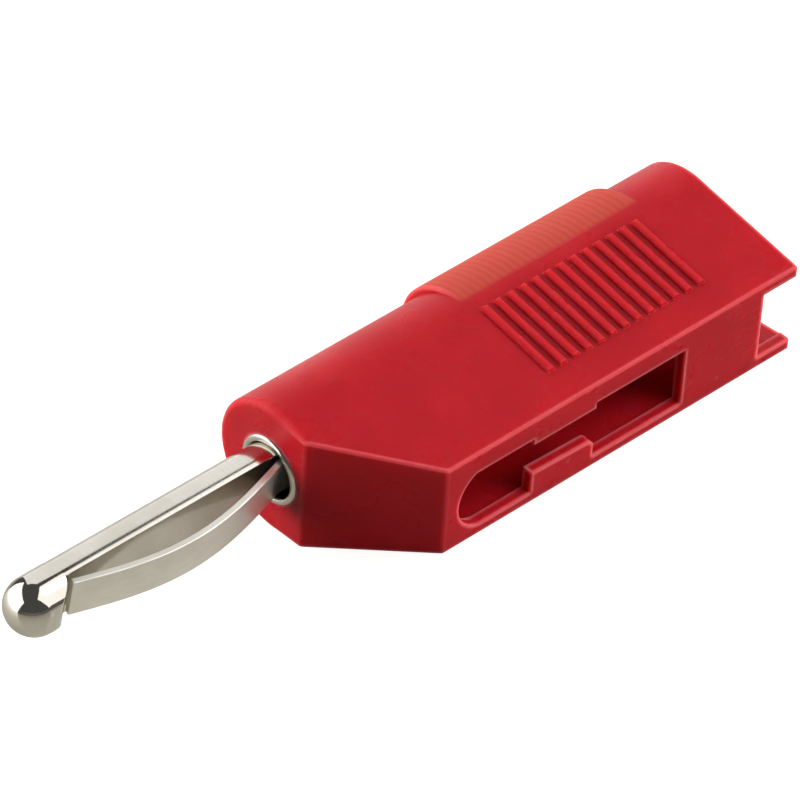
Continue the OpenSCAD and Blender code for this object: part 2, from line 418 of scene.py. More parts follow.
# %% Slanted corner and rounded edges
RIM_ROUNDING = 0.42
EDGE_ROUNDING = 0.13
SHARP = math.radians(20)
edit(housing, "FACE", everything=True)
across = Vector((-(SIDE_REACH - FRONT_REACH), -SLANT_LEN, 0)).normalized()
bpy.ops.mesh.bisect(
    plane_co=(0, -FRONT_REACH, 0), plane_no=across, use_fill=True, clear_outer=True, threshold=1e-5
)
clear_selection()

work = bmesh.new()
work.from_mesh(housing.data)
weight = work.edges.layers.float.new("bevel_weight_edge")
for edge in work.edges:
    if len(edge.link_faces) == 2 and edge.calc_face_angle(0) > SHARP:
        on_rim = max(v.co.x for v in edge.verts) < NEAR and middle(edge).y > -foot - LEAD_IN
        edge[weight] = 1.0 if on_rim else EDGE_ROUNDING / RIM_ROUNDING
work.to_mesh(housing.data)
work.free()
finish_modifier(
    housing, "BEVEL", limit_method="WEIGHT", width=RIM_ROUNDING, segments=4, use_clamp_overlap=False
)
tell(housing, "edges rounded")

# %% [markdown]
# ## Housing: grip band and ribs
# A raised band lies round the barrel's free side. It is a bar of the barrel's own radius, moved sideways,
# with a small step in front and a softer one at the rear. It is united with the housing, because the
# real one is moulded in one piece.

# %% Grip band
BAND_X, BAND_LEN, BAND_RISE = 16.05, 15.7, 0.65
BAND_FRONT, BAND_REAR = 0.2, 0.45
band = bar("band", BARREL_R, BAND_X, BAND_X + BAND_LEN, at=(0, BAND_RISE, 0))
for at_x, rounding in ((BAND_X, BAND_FRONT), (BAND_X + BAND_LEN, BAND_REAR)):
    edit(band, "EDGE")
    pick(band, "edges", lambda e: all(abs(v.co.x - at_x) < NEAR for v in e.verts))
    bpy.ops.mesh.bevel(offset=rounding, segments=5, affect="EDGES")
combine(housing, band, "UNION")
tell(housing, "band united")

# %% [markdown]
# The ribs on the upper flat are all alike, so one is modelled and copied. It starts as a block that reaches
# a little into the housing. Its upper edges are bevelled almost as far as its height, which leaves the
# round top of a moulded rib. An Array modifier would do as well.

# %% Grip ribs
RIB_COUNT, RIB_X, RIB_PITCH = 13, 17.0, 1.1
RIB_W, RIB_H, RIB_START, RIB_LEN = 0.62, 0.28, 0.3, 6.6
RIB_ROOT, RIB_ROUNDING = 0.3, 0.24
first = block(
    "ribs",
    (-RIB_W / 2, -RIB_START - RIB_LEN, BARREL_R - RIB_ROOT),
    (RIB_W / 2, -RIB_START, BARREL_R + RIB_H - FLAT_INSET),
)
edit(first, "EDGE")
pick(first, "edges", lambda e: middle(e).z > BARREL_R)
bpy.ops.mesh.bevel(offset=RIB_ROUNDING, segments=5, affect="EDGES")
clear_selection()
first.rotation_euler = (FLAT_LEAN, 0, 0)
first.location = (RIB_X, 0, 0)
apply_place(first)
for number in range(1, RIB_COUNT):
    take(first)
    bpy.ops.object.duplicate()
    edit(bpy.context.active_object, "VERT", everything=True)
    bpy.ops.transform.translate(value=(number * RIB_PITCH, 0, 0))
clear_selection()
for piece in [o for o in bpy.data.objects if o.name.startswith("ribs")]:
    piece.select_set(True)
bpy.context.view_layer.objects.active = first
bpy.ops.object.join()
combine(housing, first, "UNION")
tell(housing, "ribs united")

# %% [markdown]
# ## Housing: bore, channel and openings
# The bore, the channel for the lead, the side opening and the gap at the rear are cut one after another.
# Each cutting tool has the shape of the core that makes the hollow in the real mould. The bore is stepped
# for the neck, and a ridge in it snaps into a groove of the contact body.

# %% Bore for the contact body
NECK_LEN, NECK_R, BODY_R = 1.4, 2.4, 3.2
BODY_RECESS, BORE_EDGE = 2.6, 0.25
BODY_END = HOUSING_LEN - BODY_RECESS
GROOVE_BACK, GROOVE_W, GROOVE_DEPTH = 4.0, 0.9, 0.3
GROOVE_X = BODY_END - GROOVE_BACK
bore_profile = [
    (-OVER, 0),
    (-OVER, NECK_R + SEAT_GAP),
    (NECK_LEN, NECK_R + SEAT_GAP),
    (NECK_LEN, BODY_R + SEAT_GAP),
    (GROOVE_X, BODY_R + SEAT_GAP),
    (GROOVE_X, BODY_R + SEAT_GAP - GROOVE_DEPTH),
    (GROOVE_X + GROOVE_W, BODY_R + SEAT_GAP - GROOVE_DEPTH),
    (GROOVE_X + GROOVE_W, BODY_R + SEAT_GAP),
    (HOUSING_LEN - BORE_EDGE, BODY_R + SEAT_GAP),
    (HOUSING_LEN, BODY_R + SEAT_GAP + BORE_EDGE),
    (HOUSING_LEN + OVER, BODY_R + SEAT_GAP + BORE_EDGE),
    (HOUSING_LEN + OVER, 0),
]
combine(housing, turned("bore", bore_profile, steps=128))
tell(housing, "bore cut")

# %% [markdown]
# The lead lies in a channel between the two flat walls, which the mould's core leaves open at the rear. The
# channel's section narrows towards the cable side, as the walls lean. A round hole leads from it to the
# clamp screw on the contact body.

# %% Channel for the lead, and the hole over the clamp screw
CHANNEL_X, CHANNEL_REACH = 6.9, 4.3
WASHER_R, SEAT_FLAT, ACCESS_GAP = 2.4, 2.2, 0.5
side_inner = SIDE_REACH - SIDE_WALL_T
inner, outer = (half_thickness(r) - PLATE_T - FLAT_INSET for r in (CHANNEL_REACH, side_inner))
channel_outline = [
    (CHANNEL_X, -CHANNEL_REACH, inner),
    (CHANNEL_X, -side_inner, outer),
    (CHANNEL_X, -side_inner, -outer),
    (CHANNEL_X, -CHANNEL_REACH, -inner),
]
combine(housing, drawn_out("channel", channel_outline, (HOUSING_LEN, 0, 0)))
hole_r = WASHER_R + ACCESS_GAP
hole = bar("hole", hole_r, -CHANNEL_REACH - OVER, -SEAT_FLAT, ALONG_Y, at=(SCREW_X, 0, 0))
combine(housing, hole)
tell(housing, "channel cut")

# %% [markdown]
# The side opening is one outline: a round end, through which a screwdriver reaches the screw, and a long
# straight part, through which the lead is laid in. A tab and a lug are left standing in it, and they hold
# the lead down. The outline goes round both, so one cut makes all of it. At the rear the side wall ends
# before the flat walls do.

# %% Side opening with its tab and lug, and the rear gap
ACCESS_R, ACCESS_DROP = 2.5, 0.35
OPENING_TOP, OPENING_END = 1.9, 26.7
OPENING_FLOOR = half_thickness(SIDE_REACH) - PLATE_T - FLAT_INSET
TAB_X, TAB_LEN, TAB_H, TAB_FALL, TAB_CORNER, LUG_H = 13.45, 5.4, 1.7, 0.2, 0.35, 0.5
TAB_END = TAB_X + TAB_LEN
low_turn = math.asin((OPENING_FLOOR - ACCESS_DROP) / ACCESS_R)
high_turn = math.asin((OPENING_TOP + ACCESS_DROP) / ACCESS_R)
END_STEPS = 32
round_end = []
for i in range(END_STEPS + 1):
    turn = -low_turn + (high_turn + low_turn) * i / END_STEPS
    round_end.append((SCREW_X - ACCESS_R * math.cos(turn), ACCESS_R * math.sin(turn) - ACCESS_DROP))
opening_points = round_end + [
    (TAB_X, OPENING_TOP),
    (TAB_X, OPENING_TOP - LUG_H),
    (TAB_END, OPENING_TOP - LUG_H),
    (TAB_END, OPENING_TOP),
    (OPENING_END, OPENING_TOP),
    (OPENING_END, -OPENING_FLOOR),
    (TAB_END, -OPENING_FLOOR),
    (TAB_END, -OPENING_FLOOR + TAB_H - TAB_FALL - TAB_CORNER),
    (TAB_END - TAB_CORNER, -OPENING_FLOOR + TAB_H - TAB_FALL),
    (TAB_X, -OPENING_FLOOR + TAB_H),
    (TAB_X, -OPENING_FLOOR),
]
opening = drawn_out(
    "opening",
    [(x, -SIDE_REACH - OVER, z) for x, z in opening_points],
    (0, SIDE_WALL_T + 2 * OVER, 0),
)
combine(housing, opening)
REAR_GAP_LEN = 3.0
rear_gap = block(
    "rear_gap",
    (HOUSING_LEN - REAR_GAP_LEN, -SIDE_REACH - OVER, -OPENING_FLOOR),
    (HOUSING_LEN + OVER, -side_inner + OVER, OPENING_FLOOR),
)
combine(housing, rear_gap)
tell(housing, "openings cut")

# %% [markdown]
# The rims of the openings are sharp after the cuts. A real mould leaves them a little round, and a round
# rim catches a line of light that shows how thick the wall is. They are found by place and bevelled.

# %% Rims of the openings, softened
OPENING_ROUNDING = 0.07
RIM_START, RIM_END = SLANT_LEN + 0.55, HOUSING_LEN - REAR_GAP_LEN + 0.1
RIM_TOP = OPENING_FLOOR + 0.05


def on_opening_rim(edge):
    """A sharp edge that lies in the cable-side face, round the opening or at the rear gap."""
    if len(edge.link_faces) != 2 or edge.calc_face_angle(0) < 2 * SHARP:
        return False
    at = middle(edge)
    in_face = all(abs(v.co.y + SIDE_REACH) < NEAR for v in edge.verts)
    return in_face and RIM_START < at.x < RIM_END and abs(at.z) < RIM_TOP


edit(housing, "EDGE")
rim_count = pick(housing, "edges", on_opening_rim)
bpy.ops.mesh.bevel(offset=OPENING_ROUNDING, segments=2, affect="EDGES", clamp_overlap=True)
smooth(housing)
lay(housing)
print("opening rims:", rim_count, "edges softened")

# %% [markdown]
# ## Contact body
# On the real plug this is turned from brass bar: a thin neck whose front ring shows round the pin, a
# seat for the pin, a snap groove, and the rear socket for the next plug. So it is turned here too: half
# of its section is drawn and spun. The ring gets a rounded lip, which is what shines in the photograph.
# The flat for the washer and the cross hole are milled afterwards.

# %% Contact body
NECK_OUT, NECK_BORE_R, LIP = 0.2, 2.0, 0.22
RING_R, RING_BACK_R = 2.52, 2.5
ROOT_X, ROOT_LEN = 3.0, 4.4
SOCKET_R, SOCKET_DEPTH, SOCKET_LEAD = 2.02, 19.1, 0.5
SOCKET_X = BODY_END - SOCKET_DEPTH
BODY_EDGE = 0.15
groove_start, groove_end = GROOVE_X - SEAT_GAP, GROOVE_X + GROOVE_W + SEAT_GAP
body_profile = (
    [(ROOT_X + ROOT_LEN, 0), (ROOT_X + ROOT_LEN, BAR_R + SEAT_GAP)]
    + [(ROOT_X, BAR_R + SEAT_GAP), (ROOT_X, NECK_BORE_R)]
    + arc(-NECK_OUT + LIP, NECK_BORE_R + LIP, LIP, 270, 180)
    + arc(-NECK_OUT + LIP, RING_R - LIP, LIP, 180, 110)
    + [(-FACE_GAP, RING_BACK_R), (-FACE_GAP, NECK_R)]
    + [(NECK_LEN + FACE_GAP, NECK_R), (NECK_LEN + FACE_GAP, BODY_R)]
    + [(groove_start, BODY_R), (groove_start, BODY_R - GROOVE_DEPTH)]
    + [(groove_end, BODY_R - GROOVE_DEPTH), (groove_end, BODY_R)]
    + arc(BODY_END - BODY_EDGE, BODY_R - BODY_EDGE, BODY_EDGE, 90, 0, 4)
    + [(BODY_END, SOCKET_R + SOCKET_LEAD), (BODY_END - SOCKET_LEAD, SOCKET_R)]
    + [(SOCKET_X, SOCKET_R), (SOCKET_X, 0)]
)
contact_body = turned("plated_body", body_profile, steps=128)
tell(contact_body, "turned")

# %% [markdown]
# A mill cuts the washer's flat and a drill makes the cross hole, so a block and a bar are taken out here.
# The hole goes past the pin's axis and ends inside the body, and it is a little wider than the screw.

# %% Washer's flat and cross hole in the contact body
SEAT_LEN, TAPPED_R, TAPPED_END = 6.0, 1.5, 1.19
seat = block(
    "seat",
    (SCREW_X - SEAT_LEN / 2, -BODY_R - OVER, -BODY_R - OVER),
    (SCREW_X + SEAT_LEN / 2, -SEAT_FLAT, BODY_R + OVER),
)
combine(contact_body, seat)
cross_hole = bar(
    "cross_hole", TAPPED_R, -SEAT_FLAT - OVER, TAPPED_END, ALONG_Y, at=(SCREW_X, 0, 0), sides=64
)
combine(contact_body, cross_hole)
smooth(contact_body)
lay(contact_body)
tell(contact_body, "milled")

# %% [markdown]
# ## Pin
# The real pin is one turned piece: a ball nose with a short round shoulder, a bar with a flat milled along
# it, and a round root that is pressed into the contact body. It is turned here in one profile, nose
# included, and milled after that.

# %% Pin, turned
SHOULDER_LEN, SHOULDER_STEP, ROOT_EDGE = 1.95, 0.1, 0.2
shoulder_end = SHOULDER_LEN - NOSE_REACH
root_end = ROOT_X + ROOT_LEN
bar_profile = (
    arc(-NOSE_REACH, 0, NOSE_R, 180, 90, 40)
    + [(shoulder_end - SHOULDER_STEP, NOSE_R), (shoulder_end, BAR_R), (root_end - ROOT_EDGE, BAR_R)]
    + [(root_end, BAR_R - ROOT_EDGE), (root_end, 0)]
)
pin = turned("plated_pin", bar_profile, steps=192)
tell(pin, "turned")

# %% [markdown]
# The mill's tool is drawn out from an outline with a rounded front end, because the real shoulder falls
# away in a curve towards the spring. That end is a quarter of an ellipse, of which the part above the
# flat is used. A pocket in the root takes the spring's tail.

# %% Pin, milled
SHOULDER_LEAD, SHOULDER_R, MILL_STEPS = 0.6, 1.9, 24
mill_start = -NOSE_REACH - SHOULDER_LEAD
mill_len = SHOULDER_LEN + SHOULDER_LEAD
shoulder_curve = []
for i in range(MILL_STEPS + 1):
    turn = math.pi / 2 * i / MILL_STEPS
    drop = SHOULDER_R * math.cos(turn)
    if drop > BAR_FLAT:
        reach = mill_start + mill_len * math.sin(turn)
        shoulder_curve.append((reach, -drop, -NOSE_R - OVER))
foot_x = mill_start + mill_len * math.sqrt(1 - (BAR_FLAT / SHOULDER_R) ** 2)
mill_outline = shoulder_curve + [
    (foot_x, -BAR_FLAT, -NOSE_R - OVER),
    (ROOT_X, -BAR_FLAT, -NOSE_R - OVER),
    (ROOT_X, -NOSE_R - OVER, -NOSE_R - OVER),
    (mill_start, -NOSE_R - OVER, -NOSE_R - OVER),
]
combine(pin, drawn_out("mill", mill_outline, (0, 0, 2 * (NOSE_R + OVER))))
BOW_T, BOW_W, TAIL_IN, TAIL_GAP = 0.5, 3.1, 2.2, 0.05
pocket = block(
    "pocket",
    (ROOT_X - OVER, -BAR_FLAT - TAIL_GAP - BOW_T - SEAT_GAP, -BOW_W / 2 - SEAT_GAP),
    (ROOT_X + TAIL_IN + SEAT_GAP, -BAR_FLAT, BOW_W / 2 + SEAT_GAP),
)
combine(pin, pocket)
tell(pin, "milled")

# %% [markdown]
# The flat's long edges are rounded, as a tumbled and plated edge is, and so always catch a line of light. A
# bevel by angle would take every sharp edge. So these two are chosen by place: they lie in the flat and
# run along the pin.

# %% Pin's milled edges, softened
MILLED_ROUNDING = 0.2


def along_the_flat(edge):
    """A long edge of the bar's flat."""
    on_side = all(abs(v.co.z) > 0.9 * BAR_R for v in edge.verts)
    on_flat = all(abs(v.co.y + BAR_FLAT) < NEAR for v in edge.verts)
    return on_side and on_flat and abs(edge.verts[0].co.x - edge.verts[1].co.x) > 1


edit(pin, "EDGE")
edge_count = pick(pin, "edges", along_the_flat)
bpy.ops.mesh.bevel(offset=MILLED_ROUNDING, segments=5, affect="EDGES")
smooth(pin, 40)
lay(pin, PIN_TURN)
print("milled edges softened:", edge_count)

# %% [markdown]
# ## Bow spring
# The spring is a strip that arches from behind the nose to the housing, and its tail sits in the pin's
# root. A flat grid is the start. Each row of points is lifted onto the arch, Solidify gives the strip
# its thickness, and a bevel breaks its stamped edges. The strip is a hair thinner than the solid that it
# stands for, so that it stays clear of the pin.

# %% Bow spring
BOW_FRONT, BOW_RISE, BOW_FOOT = 2.1, 1.65, 0.16
STRIP_T, STRIP_EDGE = 0.47, 0.09
bow_x = BOW_FRONT - NOSE_REACH
bow_span = BOW_FOOT - bow_x
tail_end = ROOT_X + TAIL_IN
clear_selection()
bpy.ops.mesh.primitive_grid_add(
    x_subdivisions=80, y_subdivisions=6, size=1, location=((bow_x + tail_end) / 2, 0, 0)
)
bow = bpy.context.active_object
bow.scale = (tail_end - bow_x, BOW_W, 1)
bow.rotation_euler = (math.pi / 2, 0, 0)
bow = named("plated_bow")
for vertex in bow.data.vertices:
    share = min(1.0, (vertex.co.x - bow_x) / bow_span)
    vertex.co.y = -BAR_FLAT - TAIL_GAP - BOW_T - BOW_RISE * math.sin(math.pi * share)
edit(bow, "FACE")
face_outwards()
clear_selection()
facing = sum(p.normal.y for p in bow.data.polygons)
finish_modifier(bow, "SOLIDIFY", thickness=STRIP_T, offset=-1.0 if facing < 0 else 1.0)
finish_modifier(
    bow, "BEVEL", limit_method="ANGLE", angle_limit=math.radians(50), width=STRIP_EDGE, segments=3
)
smooth(bow, 40)
lay(bow, PIN_TURN)
print("bow spans", round(bow_span, 2), "mm and stands", BOW_RISE, "mm high")

# %% [markdown]
# ## Clamp washer and clamp screw
# They clamp the lead's wire on the contact body's flat. The real washer is punched from sheet, so its outer
# edges are a little round. It is a ring spun about the screw's axis, and the screw's head can be made
# with the same helper: a profile is spun about the pin's axis and then turned to the screw's.

# %% Clamp washer
WASHER_T, WASHER_EDGE, HOLE_R = 0.5, 0.08, 1.55
washer_y = SEAT_FLAT + FACE_GAP
washer_top = washer_y + WASHER_T


def spun_about_screw(name, profile, steps=96):
    """A profile of (distance from the pin, radius) points, spun round the screw's axis."""
    piece = turned(name, profile, steps=steps)
    piece.rotation_euler = (0, 0, -math.pi / 2)
    piece.location = (SCREW_X, 0, 0)
    return apply_place(piece)


washer_profile = (
    [(washer_y, HOLE_R)]
    + arc(washer_y + WASHER_EDGE, WASHER_R - WASHER_EDGE, WASHER_EDGE, 180, 90, 3)
    + arc(washer_top - WASHER_EDGE, WASHER_R - WASHER_EDGE, WASHER_EDGE, 90, 0, 3)
    + [(washer_top, HOLE_R), (washer_y, HOLE_R)]
)
washer = spun_about_screw("plated_washer", washer_profile)
smooth(washer)
lay(washer)
tell(washer, "spun")

# %% [markdown]
# The screw has a cheese head with a rounded upper edge and a slot for a screwdriver. The head's profile
# goes on a little way into the shank, so that the thread joins it without a gap.

# %% Clamp screw's head
HEAD_R, HEAD_H, HEAD_EDGE, HEAD_FOOT = 2.3, 1.4, 0.2, 0.05
SHANK_LEN, SHANK_START = 3.3, 0.3
THREAD_R, THREAD_DEPTH, THREAD_PITCH = 1.45, 0.25, 0.5
SLOT_W, SLOT_DEPTH = 0.6, 0.75
head_y = washer_top + FACE_GAP
head_top = head_y + HEAD_H
core_r = THREAD_R - THREAD_DEPTH
head_profile = (
    [(head_y - SHANK_START, 0), (head_y - SHANK_START, core_r), (head_y, core_r)]
    + [(head_y, HEAD_R - HEAD_FOOT), (head_y + HEAD_FOOT, HEAD_R)]
    + arc(head_top - HEAD_EDGE, HEAD_R - HEAD_EDGE, HEAD_EDGE, 90, 0, 5)
    + [(head_top, 0)]
)
screw = spun_about_screw("plated_screw", head_profile)
slot = block(
    "slot",
    (SCREW_X - HEAD_R - OVER, -head_top - OVER, -SLOT_W / 2),
    (SCREW_X + HEAD_R + OVER, -head_top + SLOT_DEPTH, SLOT_W / 2),
)
combine(screw, slot)
tell(screw, "head spun and slotted")

# %% [markdown]
# The thread is a real helix, with the tooth's crest flattened as on a rolled thread. One tooth is drawn and
# the Screw modifier repeats it for each turn. Its two open ends are filled, and it is joined to the head.

# %% Thread of the clamp screw
TIP_SPARE = 0.35
CREST_START, CREST_END = 0.44, 0.56
turns = int((SHANK_LEN - TIP_SPARE) / THREAD_PITCH)
tooth = [
    (core_r, 0, 0),
    (THREAD_R, 0, THREAD_PITCH * CREST_START),
    (THREAD_R, 0, THREAD_PITCH * CREST_END),
    (core_r, 0, THREAD_PITCH),
]
thread = outline("thread", tooth)
clear_selection()
finish_modifier(
    thread,
    "SCREW",
    angle=2 * math.pi,
    screw_offset=THREAD_PITCH,
    iterations=turns,
    steps=48,
    render_steps=48,
    use_merge_vertices=True,
    merge_threshold=SLIVER / 2,
)
edit(thread, "EDGE")
pick(thread, "edges", lambda e: e.is_boundary)
bpy.ops.mesh.fill()
face_outwards()
clear_selection()
thread.rotation_euler = (math.pi / 2, 0, 0)
thread.location = (SCREW_X, -head_y + SHANK_LEN, 0)
apply_place(thread)
screw.select_set(True)
bpy.context.view_layer.objects.active = screw
bpy.ops.object.join()
smooth(screw)
lay(screw)
print("screw has", turns, "turns of thread")

# %% [markdown]
# ## Handing the pieces over
# Each piece takes the place of one CAD node, which is hidden, and rides on its body.
# Housing, contact body and pin are one rigid body. Washer and screw travel, and the screw also turns. In
# the physics model the bow slides, but the real strip is held at both ends and flattens. So it rides on
# the housing here, with its own copy of the mesh.

# %% Hand the pieces over to the frame
hand_over(housing, "housing", "housing")
hand_over(contact_body, "contact_body", "housing")
hand_over(pin, "contact_pin", "housing")
hand_over(washer, "clamp_washer", "washer")
hand_over(screw, "clamp_screw", "screw")
hand_over(bow, "bow_spring", "housing")
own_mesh(bow)

# %% [markdown]
# ## Materials
# A finish is a tree of nodes round one Principled shader. The helpers here add one node each, and take
# either a socket or a plain value, so that a tree reads like a sum.


# %% Helpers for shader trees
def new_material(name):
    """A material with only a Principled BSDF and its output."""
    material = bpy.data.materials.new(name)
    material.use_nodes = True
    tree = material.node_tree
    tree.nodes.clear()
    shader = tree.nodes.new("ShaderNodeBsdfPrincipled")
    output = tree.nodes.new("ShaderNodeOutputMaterial")
    tree.links.new(shader.outputs["BSDF"], output.inputs["Surface"])
    return material, tree, shader


def new_group(name, inputs, outputs):
    """An empty node group with named sockets, its input node and its output node."""
    tree = bpy.data.node_groups.new(name, "ShaderNodeTree")
    for socket, kind, value in inputs:
        made = tree.interface.new_socket(socket, in_out="INPUT", socket_type="NodeSocket" + kind)
        if value is not None:
            made.default_value = value
    for socket, kind in outputs:
        tree.interface.new_socket(socket, in_out="OUTPUT", socket_type="NodeSocket" + kind)
    return tree, tree.nodes.new("NodeGroupInput"), tree.nodes.new("NodeGroupOutput")


def place_group(tree, group, **values):
    """Puts a group into a material with its own values."""
    node = tree.nodes.new("ShaderNodeGroup")
    node.node_tree = group
    for name, value in values.items():
        feed(tree, value, node.inputs[name.replace("_", " ").title()])
    return node


def feed(tree, value, socket):
    """Links a socket, or sets a plain value."""
    if isinstance(value, bpy.types.NodeSocket):
        tree.links.new(value, socket)
    else:
        socket.default_value = value


def wire(tree, node, values):
    """Links or sets several inputs of a node, given by their names or numbers."""
    for name, value in values.items():
        feed(tree, value, node.inputs[name])


print("materials so far:", len(bpy.data.materials))

# %% [markdown]
# A pattern takes only a few kinds of node: arithmetic, a range spread over another, a mix of two colours,
# noise, and coordinates that are squeezed, turned or split. Each helper adds one and returns its output.


# %% Helpers for patterns
def calculate(tree, operation, *values, clamp=False):
    """One step of arithmetic on sockets or plain values."""
    node = tree.nodes.new("ShaderNodeMath")
    node.operation, node.use_clamp = operation, clamp
    for value, socket in zip(values, node.inputs):
        feed(tree, value, socket)
    return node.outputs[0]


def ramp(tree, value, low, high, to_low=0.0, to_high=1.0):
    """A value between two limits, spread smoothly over a new range."""
    node = tree.nodes.new("ShaderNodeMapRange")
    node.interpolation_type = "SMOOTHSTEP"
    for part, socket in zip((value, low, high, to_low, to_high), node.inputs):
        feed(tree, part, socket)
    return node.outputs[0]


def mix_colours(tree, share, first, second):
    """From the first colour to the second, by a share."""
    node = tree.nodes.new("ShaderNodeMix")
    node.data_type = "RGBA"
    feed(tree, share, node.inputs["Factor"])
    for value, socket in ((first, node.inputs[6]), (second, node.inputs[7])):
        feed(tree, (*value, 1) if isinstance(value, tuple) else value, socket)
    return node.outputs[2]


def noise(tree, place, scale, detail=2.0, roughness=0.5):
    """An even, cloudy pattern between 0 and 1."""
    node = tree.nodes.new("ShaderNodeTexNoise")
    wire(tree, node, {"Vector": place, "Scale": scale, "Detail": detail, "Roughness": roughness})
    return node.outputs[0]


def stretched(tree, place, scale):
    """The same coordinates, squeezed more along one axis than another."""
    node = tree.nodes.new("ShaderNodeMapping")
    wire(tree, node, {"Vector": place, "Scale": scale})
    return node.outputs[0]


def turned_back(tree, place, scale=1.0):
    """The same coordinates, turned back by the flats' lean and scaled."""
    node = tree.nodes.new("ShaderNodeMapping")
    wire(tree, node, {"Vector": place, "Rotation": (-FLAT_LEAN, 0, 0), "Scale": [scale] * 3})
    return node.outputs[0]


def split_axes(tree, place):
    """The three coordinates, each by itself."""
    node = tree.nodes.new("ShaderNodeSeparateXYZ")
    tree.links.new(place, node.inputs[0])
    return node.outputs


def bump(tree, height, strength, distance):
    """A normal that is tilted as a relief of this height would be."""
    node = tree.nodes.new("ShaderNodeBump")
    wire(tree, node, {"Height": height, "Strength": strength, "Distance": distance})
    return node.outputs[0]


print("node groups so far:", len(bpy.data.node_groups))

# %% [markdown]
# Materials read Object coordinates, which are metres in the laid-down plug. The patterns are easier to
# think of in the upright plug's own millimetres. So one group turns and scales the coordinates, and every
# material uses it.

# %% Group: the upright plug's millimetres
upright, _, group_out = new_group("plug_millimetres", [], [("Place", "Vector")])
laid_down = upright.nodes.new("ShaderNodeTexCoord").outputs["Object"]
in_mm = turned_back(upright, laid_down, 1 / TO_METRES)
upright.links.new(in_mm, group_out.inputs["Place"])
print("group made:", upright.name)

# %% [markdown]
# Moulded and plated surfaces both have a fine grain and slow clouds in their tone, so these are one shared
# group. Each material chooses how fine the grain is. Both are noise: a picture of a real surface would show
# its seams and its one scale.

# %% Group: fine grain
grain, group_in, group_out = new_group(
    "fine_grain",
    [("Place", "Vector", None), ("Scale", "Float", 8.0)],
    [("Height", "Float"), ("Cloud", "Float")],
)
scaled = grain.nodes.new("ShaderNodeVectorMath")
scaled.operation = "SCALE"
wire(grain, scaled, {0: group_in.outputs["Place"], "Scale": group_in.outputs["Scale"]})
fine = noise(grain, scaled.outputs[0], 1.0, 3.0, 0.6)
cloud = noise(grain, group_in.outputs["Place"], 0.22, 3.0, 0.55)
wire(grain, group_out, {"Height": fine, "Cloud": cloud})
print("group made:", grain.name)

# %% [markdown]
# All of them also carry faint handling marks: short hairlines that lie mostly along the plug, because it
# is pushed in and pulled out that way. Noise that is stretched along X gives the lines, and a second,
# wider noise lets them show in patches only.

# %% Group: handling marks
marks, group_in, group_out = new_group(
    "handling_marks",
    [("Place", "Vector", None), ("Amount", "Float", 0.5)],
    [("Mask", "Float")],
)
hairlines = noise(marks, stretched(marks, group_in.outputs["Place"], (0.6, 9, 9)), 1.0, 2.0, 0.5)
patches = noise(marks, group_in.outputs["Place"], 0.35, 1.0, 0.5)
lines = ramp(marks, hairlines, 0.62, 0.72)
where = ramp(marks, patches, 0.45, 0.65)
masked = calculate(marks, "MULTIPLY", lines, where)
marks.links.new(
    calculate(marks, "MULTIPLY", masked, group_in.outputs["Amount"], clamp=True),
    group_out.inputs["Mask"],
)
print("group made:", marks.name)

# %% [markdown]
# Outer edges of the moulding get a paler red, which is a painted highlight for the light that a rounded edge
# catches. The Ambient
# Occlusion node can look into the solid: just inside an outer edge another face is near, and in the middle
# of a face or in an inner corner none is. That finds rounded edges as well as sharp ones, and leaves the
# inner corners as they are.

# %% Group: painted highlight on outer edges
edges, group_in, group_out = new_group(
    "painted_edge_highlight", [("Width", "Float", 0.0004)], [("Mask", "Float")]
)
looking_in = edges.nodes.new("ShaderNodeAmbientOcclusion")
looking_in.inside, looking_in.only_local, looking_in.samples = True, True, 4
edges.links.new(group_in.outputs["Width"], looking_in.inputs["Distance"])
edges.links.new(ramp(edges, looking_in.outputs["AO"], 0.97, 0.72), group_out.inputs["Mask"])
print("group made:", edges.name)

# %% [markdown]
# ## Red moulding
# The plastic is a deep, slightly orange red that light enters a little, so thin edges glow. It is smooth
# on the flats. The grip band is rougher, with faint marks across it, and its paler, more orange red is a
# painted sheen.
# The band is found by its place: between its two ends, on the side away from the cable. At scale 1 a Wave
# texture repeats every pi / 10 units, so its stripes can be given a whole number to each rib's pitch.

# %% Red plastic: where the grip band is
STRIPES_A_RIB = 2
red, tree, shader = new_material("red_plastic")
place = place_group(tree, upright).outputs["Place"]
along, side, _ = split_axes(tree, place)
texture = place_group(tree, grain, place=place, scale=9.0)
wear = place_group(tree, marks, place=place, amount=0.5).outputs["Mask"]

band_start = ramp(tree, along, BAND_X - 0.1, BAND_X + 0.35)
band_stop = ramp(tree, along, BAND_X + BAND_LEN - 0.25, BAND_X + BAND_LEN + 0.1, 1.0, 0.0)
band_side = ramp(tree, side, 0.05, 0.55)
on_band = calculate(tree, "MULTIPLY", calculate(tree, "MULTIPLY", band_start, band_stop), band_side)

stripes = tree.nodes.new("ShaderNodeTexWave")
stripes.wave_type, stripes.bands_direction = "BANDS", "X"
stripe_scale = STRIPES_A_RIB * math.pi / (10 * RIB_PITCH)
wire(
    tree,
    stripes,
    {"Vector": place, "Scale": stripe_scale, "Distortion": 1.2, "Detail Scale": 2.0},
)
across_band = calculate(tree, "MULTIPLY", stripes.outputs["Fac"], on_band)
print("band coloured from", BAND_X, "to", round(BAND_X + BAND_LEN, 2), "mm")
